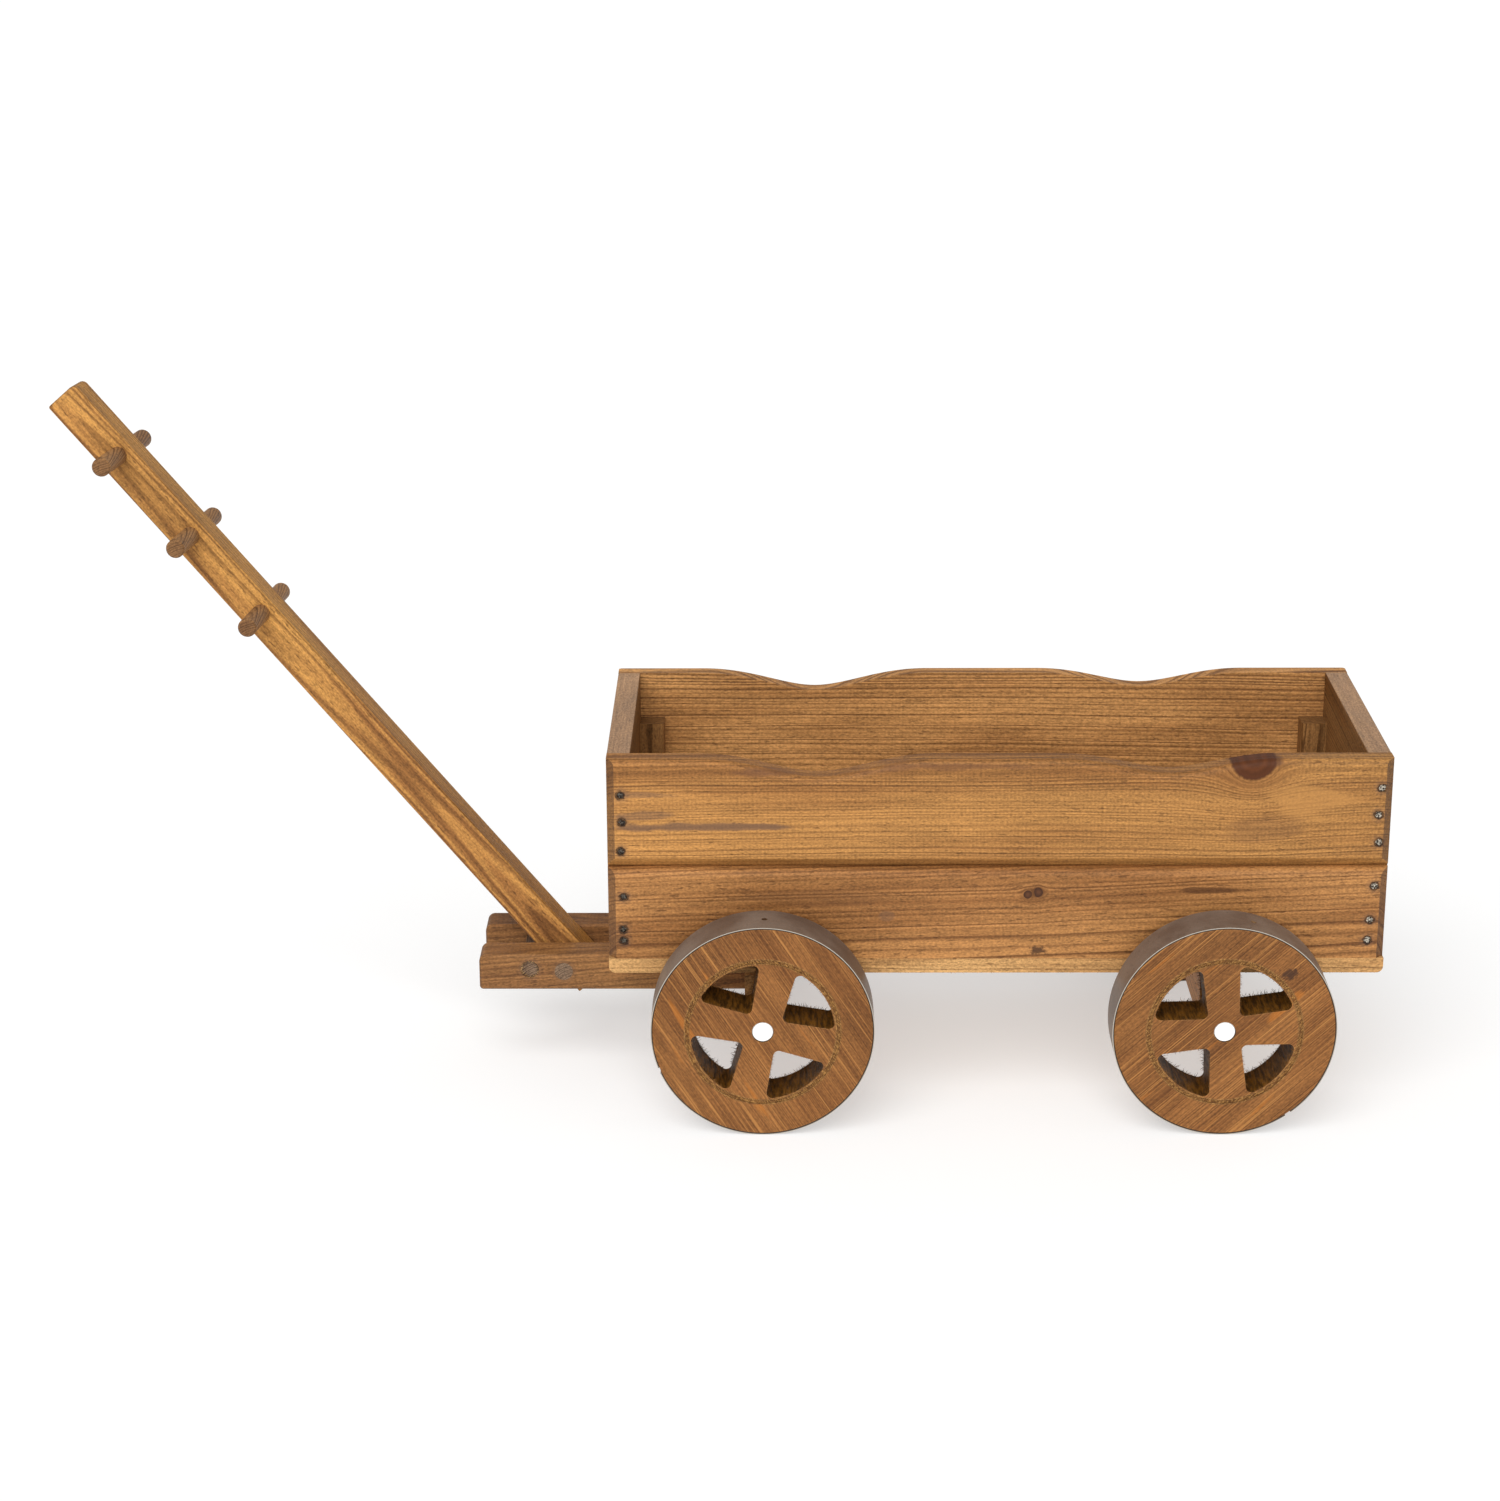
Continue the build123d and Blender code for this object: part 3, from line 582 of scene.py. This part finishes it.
def white_plastic(name):
    """Satin white plastic with faint moulding mottle and scuffs."""
    graph = Graph(name)
    place = graph.add("TexCoord").outputs["Object"]
    mottle = graph.noise(place, (900, 900, 900), 3.0)
    scuff = graph.step(graph.noise(place, (120, 1400, 120), 2.0), 0.68, 0.75)
    colour = graph.mix(graph.times(scuff, 0.35), srgb(252, 252, 251), srgb(206, 202, 194))
    roughness = graph.total(graph.centred(mottle, 0.15), 0.42)
    return graph.finish(colour, roughness, graph.bumps(mottle, PLASTIC_RELIEF))


def paint(node, material):
    """Gives a CAD node one material in every slot."""
    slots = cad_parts[node].data.materials
    for index in range(len(slots)):
        slots[index] = material
    if not slots:
        slots.append(material)


def islands(node):
    """Middle of each separate solid of a CAD node."""
    mesh = bmesh.new()
    mesh.from_mesh(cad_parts[node].data)
    bmesh.ops.remove_doubles(mesh, verts=mesh.verts, dist=0.00001)
    left = set(mesh.verts)
    middles = []
    while left:
        front = [left.pop()]
        found = list(front)
        while front:
            vertex = front.pop()
            for edge in vertex.link_edges:
                other = edge.other_vert(vertex)
                if other in left:
                    left.remove(other)
                    front.append(other)
                    found.append(other)
        corners = [[pick(vertex.co[axis] for vertex in found) for axis in range(3)] for pick in (min, max)]
        middles.append((Vector(corners[0]) + Vector(corners[1])) / 2)
    mesh.free()
    return sorted(middles, key=lambda place: (place.x, place.z))


def nails_on(board):
    """Where nails come through the outer face of a side board."""
    side = board.split("_")[0]
    bottom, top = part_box(board)
    face = bottom.y if side == "left" else top.y
    nails = islands("nails_" + side + "_side")
    return [(nail.x, face, nail.z) for nail in nails if bottom.z < nail.z < top.z]


def patch(x, z, half_length, half_height, colour, strength, **more):
    """Stain on the left face of the box, its X measured from the middle of the box."""
    return {"centre": at(x, LEFT_FACE, z), "size": (half_length, 0.02, half_height), "colour": colour,
            "strength": strength, **more}


def paint_left_upper_board():
    """Upper board towards the camera, with half a knot at its top edge and a grey streak by its nails."""
    board = "left_upper_side_board"
    knot = {"centre": at(0.1926, LEFT_FACE, 0.2895), "radius": 0.0185, "heart": KNOT_HEART, "rings": 16.0,
            "rim_from": 0.72, "rim": 0.5, "halo": 0.25, "halo_colour": srgb(140, 92, 48), "ragged": 0.16}
    stains = [
        patch(-0.2284, 0.2345, 0.078, 0.0042, GREY_STAIN, 0.75, warp=1.9),
        patch(-0.2724, 0.2435, 0.030, 0.0040, GREY_STAIN, 0.5, warp=1.9),
        patch(-0.2704, 0.2603, 0.022, 0.0030, GREY_STAIN, 0.5, warp=1.9),
        patch(-0.1500, 0.2790, 0.065, 0.0050, OLD_STREAK, 0.6, warp=1.6),
        patch(-0.0300, 0.2830, 0.085, 0.0042, OLD_STREAK, 0.55, warp=1.6),
        patch(0.2370, 0.2560, 0.040, 0.0180, srgb(184, 132, 72), 0.5, warp=1.6),
        patch(0.2050, 0.2330, 0.034, 0.0130, srgb(112, 76, 48), 0.35, warp=1.6),
        patch(0.2060, 0.2870, 0.012, 0.0070, srgb(52, 28, 30), 0.75, warp=0.8),
    ]
    paint(board, wood("wood_left_upper", (1, 0, 0.01), at(0, -0.06, 0.40), HONEY, ring=0.0034, contrast=0.75,
                      seed=1.3, knots=[knot], stains=stains, nails=nails_on(board), fade=0.3,
                      chatter=0.045, end_light=0.3))


def paint_left_lower_board():
    """Lower board towards the camera, with two pin knots and dark smudges."""
    board = "left_lower_side_board"
    pins = [{"centre": at(x, LEFT_FACE, z), "radius": 0.0035, "heart": srgb(84, 52, 32),
             "rings": 9.0, "halo": 0.5, "ragged": 0.3} for x, z in ((0.0235, 0.1791), (0.0317, 0.1807))]
    stains = [
        patch(0.0324, 0.1327, 0.008, 0.004, PITCH, 0.85, warp=1.6, grain=(300, 300, 300)),
        patch(-0.0848, 0.1618, 0.007, 0.005, GREY_STAIN, 0.4),
        patch(0.1641, 0.1823, 0.030, 0.003, srgb(74, 44, 24), 0.7, warp=1.8),
        patch(-0.1442, 0.1767, 0.060, 0.008, srgb(110, 72, 42), 0.35),
    ]
    paint(board, wood("wood_left_lower", (1, 0, 0.035), at(0, -0.17, 0.10), RUSSET, ring=0.0040,
                      contrast=0.8, seed=4.1, knots=pins, stains=stains, nails=nails_on(board),
                      end_light=0.3))


def paint_box():
    """The board box: side boards, end boards, floor and corner posts."""
    paint_left_upper_board()
    paint_left_lower_board()
    upper, lower = "right_upper_side_board", "right_lower_side_board"
    paint(upper, wood("wood_right_upper", (1, 0, -0.008), at(0, 0.15, 0.05), BROWN, ring=0.0032, seed=7.7,
                      nails=nails_on(upper)))
    paint(lower, wood("wood_right_lower", (1, 0, 0.02), at(0, 0.16, 0.22), BROWN, ring=0.0036, seed=9.2,
                      nails=nails_on(lower)))
    # End boards and corner posts take the darker SHADE tones, painted shade for the inside of the box
    for end in ("front", "rear"):
        x = middle(end + "_upper_end_board").x
        # The upper end boards' tops take painted light from above
        paint(end + "_upper_end_board",
              wood("wood_" + end + "_upper", (0, 1, 0.02), (x, 0.0, 0.16), SHADE, ring=0.003, seed=x * 7,
                   lit_top_tone=LIT_END_TOP))
        paint(end + "_lower_end_board",
              wood("wood_" + end + "_lower", (0, 1, -0.03), (x, 0.0, 0.30), SHADE, ring=0.0035, seed=x * 11))
        for side in ("left", "right"):
            post = "corner_post_" + end + "_" + side
            y = middle(post).y
            paint(post, wood("wood_" + post, (0.02, 0, 1), (x, y * 1.4, 0.2), SHADE, ring=0.003, seed=x + y))
    for name, y in (("left", -0.10), ("middle", 0.02), ("right", 0.09)):
        paint("floor_board_" + name,
              wood("wood_floor_" + name, (1, 0.01, 0), at(0, y, 0.20), PALE, ring=0.0045, seed=3 + y * 30,
                   contrast=0.6, saw=1.6, chatter=0.01, roughness=0.7))


def paint_undercarriage():
    """Beams, rails, packer and dowels."""
    for end in ("front", "rear"):
        x = middle(end + "_axle_beam").x
        paint(end + "_axle_beam",
              wood("wood_beam_" + end, (0.01, 1, 0), (x + 0.03, 0, 0.02), BROWN, ring=0.0035, seed=x * 13))
    for side, y in (("left", -1), ("right", 1)):
        rail = side + "_tongue_rail"
        face = low(rail).y if side == "left" else high(rail).y
        # The dowels' holes in the rails get painted shadow round their gaps
        dowels = [middle(name) for name in DOWELS]
        gaps = [(place.x, face, place.z) for place in dowels]
        paint(rail,
              wood("wood_rail_" + side, (1, 0.03 * y, 0.09), at(-0.39, y * 0.045, 0.06), RAIL, ring=0.004,
                   wander=0.02, contrast=0.6, seed=5.5 + y, nails=gaps, nail_marks=0.75, mark_radius=0.0079))
    paint("tongue_packer", wood("wood_packer", (0, 1, 0.02), at(-0.26, 0, 0.04), BROWN, seed=2.2))
    for name in DOWELS:
        place = middle(name)
        paint(name, wood("wood_" + name, (0.02, 1, 0.01), (place.x + 0.012, 0, place.z - 0.02), DOWEL,
                         ring=0.0018, wander=0.004, seed=place.x * 9, end_light=0.95, edge_light=0.2))


def paint_handle():
    """Handle bar, with grain that runs its length, and its pegs."""
    bottom, top = low("pull_handle"), high("pull_handle")
    along = Vector((bottom.x - top.x, 0.05, top.z - bottom.z)).normalized()
    centre = middle("pull_handle")
    pith = (centre.x + 0.012, centre.y - 0.035, centre.z - 0.012)
    paint("pull_handle", wood("wood_handle", along, pith, HANDLE, ring=0.0030, wander=0.018, contrast=0.8,
                              seed=6.4))
    for name in ("upper", "middle", "lower"):
        node = "handle_peg_" + name
        place = middle(node)
        paint(node, wood("wood_peg_" + name, (0.06, 1, 0.06), (place.x + 0.01, place.y, place.z - 0.016), PEG,
                         ring=0.002, wander=0.004, seed=place.x * 5, end_light=0.55, edge_light=0.3))


def paint_wheels():
    """Wheels, tyres and their nails."""
    steel = nail_steel("steel_tyre_nails", srgb(206, 190, 156), srgb(70, 54, 40))
    rear = WHEELS["rear_left"]
    face = low("wheel_rear_left").y
    mark = Vector((rear["centre"].x + 0.047, face, rear["centre"].z + 0.0475))
    rear["stains"] = [{"centre": mark, "size": (0.0075, 0.01, 0.0055), "colour": PITCH, "strength": 0.85,
                       "warp": 1.8, "grain": (240, 240, 240)}]
    for name, wheel in WHEELS.items():
        paint("wheel_" + name, wheel_wood("wood_wheel_" + name, wheel))
        paint("tyre_" + name, tyre_steel("steel_tyre_" + name, wheel))
        paint("tyre_nails_" + name, steel)


def paint_fasteners():
    """Nails, screws, axle rods and spacers."""
    steel = nail_steel("steel_nails", srgb(214, 205, 188), srgb(40, 32, 26))
    for name in ("nails_left_side", "nails_right_side", "nails_floor", "screws_axle_beams", "screws_tongue"):
        paint(name, steel)
    plastic = white_plastic("plastic_axle")
    for name in ("front_axle_rod", "rear_axle_rod", "wheel_spacers"):
        paint(name, plastic)


def add_fibre(mesh, root, direction, droop, length, width):
    """One torn fibre: a thin three-sided sliver that bends towards droop and tapers to a point."""
    direction = direction.normalized()
    side = direction.cross(droop)
    side = side.normalized() if side.length > 0.01 else direction.orthogonal().normalized()
    up = side.cross(direction)
    bend = root + direction * (length * 0.55) + droop * (length * 0.06)
    tip = root + direction * length + droop * (length * 0.25)
    rings = []
    for centre, size in ((root - direction * (width * 0.5), width), (bend, width * 0.65)):
        corners = [(side * math.cos(turn) + up * math.sin(turn)) * (size / 2) for turn in FIBRE_CORNERS]
        rings.append([mesh.verts.new(centre + corner) for corner in corners])
    point = mesh.verts.new(tip)
    base, waist = rings
    mesh.faces.new(reversed(base))
    for index in range(3):
        after = (index + 1) % 3
        mesh.faces.new((base[index], base[after], waist[after], waist[index]))
        mesh.faces.new((waist[index], waist[after], point))


def fibre_piece(name, body, material, fibres):
    """One object from many fibres, each a root, direction, droop, length and width."""
    mesh = bmesh.new()
    for fibre in fibres:
        add_fibre(mesh, *fibre)
    data = bpy.data.meshes.new(name)
    mesh.to_mesh(data)
    mesh.free()
    data.materials.append(material)
    piece = bpy.data.objects.new(name, data)
    bpy.context.scene.collection.objects.link(piece)
    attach(piece, body)


def window_edge(turn, spacing):
    """Points along the edges of a wheel's four windows, each with the direction into the window."""
    spread = (SPOKE_HALF_AT_RIM - SPOKE_HALF_AT_HUB) / (WINDOW_RADIUS - SPOKE_HALF_AT_HUB)
    lean = math.atan(spread)
    first = math.asin(SPOKE_HALF_AT_RIM / WINDOW_RADIUS) + WINDOW_CORNER / WINDOW_RADIUS
    edge = []
    reach = WINDOW_RADIUS * WINDOW_REACH - WINDOW_CORNER
    for index in range(int((reach - SPOKE_HALF_AT_HUB - WINDOW_CORNER) / spacing)):
        u = SPOKE_HALF_AT_HUB + WINDOW_CORNER + index * spacing
        v = SPOKE_HALF_AT_HUB + spread * (u - SPOKE_HALF_AT_HUB)
        inward = (-math.sin(lean), math.cos(lean))
        edge.append(((u, v), inward))
        edge.append(((v, u), (inward[1], inward[0])))
    span = math.pi / 2 - 2 * first
    for index in range(int(span * WINDOW_RADIUS / spacing)):
        angle = first + index * spacing / WINDOW_RADIUS
        place = (WINDOW_RADIUS * math.cos(angle), WINDOW_RADIUS * math.sin(angle))
        edge.append((place, (-math.cos(angle), -math.sin(angle))))
    for quarter in range(4):
        spin = Matrix.Rotation(math.radians(turn + 90 * quarter), 2)
        for place, inward in edge:
            yield spin @ Vector(place), spin @ Vector(inward)


def window_fibres(wheel, bottom, top, draw):
    """Torn fibres along both edges of the windows, thicker along the edge away from the outer face."""
    outer, inner = (bottom.y, top.y) if wheel["side"] < 0 else (top.y, bottom.y)
    fibres = []
    for face, (spacing, longest) in ((inner, INNER_EDGE), (outer, OUTER_EDGE)):
        inwards = Vector((0, 1 if face == bottom.y else -1, 0))
        for place, into in window_edge(wheel["turn"], spacing):
            length = SHORTEST_WINDOW_FIBRE + longest * draw.random() ** 2.2
            root = wheel["centre"] + Vector((place.x, 0, place.y))
            root.y = face + inwards.y * (0.0004 + 0.0008 * draw.random())
            aim = Vector((into.x, 0, into.y)) + inwards * draw.uniform(0.0, 0.5)
            along = Vector((-into.y, 0, into.x)) * draw.uniform(-0.7, 0.7)
            droop = Vector((draw.uniform(-1, 1), 0, draw.uniform(-1, 1)))
            fibres.append((root, aim + along, droop, length, draw.uniform(0.00025, 0.0006)))
    return fibres


def groove_fibres(wheel, bottom, top, draw):
    """Light fuzz left in the routed ring, longest where the cutter crossed the grain."""
    outer = bottom.y if wheel["side"] < 0 else top.y
    into = Vector((0, -wheel["side"], 0))
    grain = math.radians(wheel["grain"])
    fibres = []
    for index in range(GROOVE_FIBRES):
        angle = 2 * math.pi * index / GROOVE_FIBRES + draw.uniform(-0.01, 0.01)
        torn = abs(math.cos(angle - grain)) ** 2
        edge = GROOVE_RADIUS + draw.choice((-0.5, 0.5)) * GROOVE_WIDTH
        radial = Vector((math.cos(angle), 0, math.sin(angle)))
        root = wheel["centre"] + radial * edge
        root.y = outer + into.y * draw.uniform(0.3, 0.9) * GROOVE_DEPTH
        towards = radial * math.copysign(1.0, GROOVE_RADIUS - edge)
        tangent = Vector((-math.sin(angle), 0, math.cos(angle))) * draw.uniform(-1.2, 1.2)
        length = 0.0004 + 0.0016 * torn * draw.random()
        fibres.append((root, towards + tangent, into * 0.3, length, draw.uniform(0.00012, 0.0003)))
    return fibres


def hole_fibres(centre, radius, outward, count, longest, draw):
    """Splinters round a hole in a board, leaning in over it."""
    fibres = []
    for index in range(count):
        angle = 2 * math.pi * (index + draw.uniform(-0.4, 0.4)) / count
        radial = Vector((math.cos(angle), 0, math.sin(angle)))
        root = Vector(centre) + radial * radius - outward * draw.uniform(0.0001, 0.0005)
        tangent = Vector((-math.sin(angle), 0, math.cos(angle))) * draw.uniform(-0.9, 0.9)
        length = longest * draw.uniform(0.35, 1.0)
        fibres.append((root, tangent - radial, -outward, length, draw.uniform(0.0003, 0.0008)))
    return fibres


def add_wheel_fibres():
    """Torn fibres in the windows and the routed ring of each wheel."""
    dark = torn_wood("torn_window_fibres", srgb(52, 32, 12), srgb(138, 94, 46))
    light = torn_wood("torn_groove_fibres", srgb(128, 86, 44), srgb(206, 160, 98))
    for seed, (name, wheel) in enumerate(WHEELS.items()):
        draw = random.Random(seed + 11)
        bottom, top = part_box("wheel_" + name)
        body = name + "_wheel"
        in_windows = window_fibres(wheel, bottom, top, draw)
        fibre_piece("window_fibres_" + name, body, dark, in_windows)
        in_groove = groove_fibres(wheel, bottom, top, draw)
        fibre_piece("groove_fibres_" + name, body, light, in_groove)


def add_board_fibres():
    """Splinters round the side nails and the stop dowel, and along the rough floor edges."""
    draw = random.Random(5)
    dark = torn_wood("torn_nail_splinters", srgb(34, 22, 14), srgb(96, 62, 34))
    for side, outward in (("left", Vector((0, -1, 0))), ("right", Vector((0, 1, 0)))):
        fibres = []
        for board in ("_upper_side_board", "_lower_side_board"):
            for nail in nails_on(side + board):
                count = FRONT_SPLINTERS if nail[0] < BOX_MIDDLE else REAR_SPLINTERS
                fibres += hole_fibres(nail, NAIL_HEAD_RADIUS, outward, count, NAIL_SPLINTER, draw)
        fibre_piece("nail_splinters_" + side, "wagon_box", dark, fibres)
    stop = middle("handle_stop_dowel")
    rail_face = low("left_tongue_rail").y
    pale = torn_wood("torn_dowel_rim", srgb(92, 62, 34), srgb(196, 156, 104))
    hole = (stop.x, rail_face, stop.z)
    rim = hole_fibres(hole, DOWEL_HOLE_RADIUS, Vector((0, -1, 0)), DOWEL_SPLINTERS, DOWEL_SPLINTER, draw)
    fibre_piece("stop_dowel_splinters", "wagon_box", pale, rim)
    add_floor_fibres(pale, draw)


def add_floor_fibres(material, draw):
    """Short fibres left by the saw along the outer edges of the floor."""
    for side, outward in (("left", -1), ("right", 1)):
        bottom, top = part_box("floor_board_" + side)
        face = bottom.y if outward < 0 else top.y
        fibres = []
        for index in range(FLOOR_FIBRES):
            share = (index + draw.random()) / FLOOR_FIBRES
            x = bottom.x + FLOOR_END_MARGIN + (top.x - bottom.x - 2 * FLOOR_END_MARGIN) * share
            z = draw.choice((bottom.z + 0.0001, top.z - 0.0012 * draw.random()))
            aim = Vector((draw.uniform(-1.4, 1.4), outward, draw.uniform(-0.6, 0.4)))
            length = 0.0003 + 0.0013 * draw.random() ** 3
            width = draw.uniform(0.0001, 0.0003)
            fibres.append((Vector((x, face, z)), aim, Vector((0, 0, -1)), length, width))
        fibre_piece("floor_fibres_" + side, "wagon_box", material, fibres)


def make_camera():
    """Camera in front of the wagon's left side, looking along +Y and pitched down."""
    data = bpy.data.cameras.new("camera")
    data.lens = CAMERA_LENS
    data.sensor_width = CAMERA_SENSOR
    camera = bpy.data.objects.new("camera", data)
    turn = Matrix.Rotation(CAMERA_YAW, 4, "Z")
    pitch = Matrix.Rotation(math.pi / 2 - CAMERA_PITCH_DOWN, 4, "X")
    roll = Matrix.Rotation(-CAMERA_ROLL, 4, "Z")
    camera.matrix_world = Matrix.Translation(CAMERA_PLACE) @ turn @ pitch @ roll
    bpy.context.scene.collection.objects.link(camera)
    bpy.context.scene.camera = camera


def soft_light(name, direction, spread, strength):
    """Wide soft light that reaches the whole scene evenly, from a direction, its spread in degrees."""
    data = bpy.data.lights.new(name, "SUN")
    data.angle = math.radians(spread)
    data.energy = strength
    light = bpy.data.objects.new(name, data)
    light.rotation_euler = Vector(direction).to_track_quat("Z", "Y").to_euler()
    bpy.context.scene.collection.objects.link(light)


def make_studio():
    """Pale floor, white surroundings and soft lights from the front and above."""
    mesh = bpy.data.meshes.new("studio_floor")
    corners = [(FLOOR_REACH * x, FLOOR_REACH * y, 0) for x, y in ((-1, -1), (1, -1), (1, 1), (-1, 1))]
    mesh.from_pydata(corners, [], [(0, 1, 2, 3)])
    floor = bpy.data.objects.new("studio_floor", mesh)
    bpy.context.scene.collection.objects.link(floor)
    graph = Graph("studio_floor")
    place = graph.add("TexCoord").outputs["Object"]
    tone = graph.mix(graph.noise(place, (3, 3, 3)), srgb(196, 196, 195), srgb(199, 199, 199))
    grit = graph.bumps(graph.noise(place, (40, 40, 40)), FLOOR_RELIEF)
    mesh.materials.append(graph.finish(tone, 0.9, grit, specular=0.1, glow=FLOOR_GLOW))
    world = bpy.data.worlds.new("studio")
    world.use_nodes = True
    background = world.node_tree.nodes["Background"]
    background.inputs["Color"].default_value = (1.0, 1.0, 1.0, 1.0)
    background.inputs["Strength"].default_value = WORLD_STRENGTH
    bpy.context.scene.world = world
    soft_light("key", KEY_DIRECTION, KEY_SPREAD, KEY_STRENGTH)
    soft_light("front", FRONT_DIRECTION, FRONT_SPREAD, FRONT_STRENGTH)
    bpy.context.scene.view_settings.view_transform = "Standard"


paint_box()
paint_undercarriage()
paint_handle()
paint_wheels()
paint_fasteners()
add_wheel_fibres()
add_board_fibres()
make_camera()
make_studio()
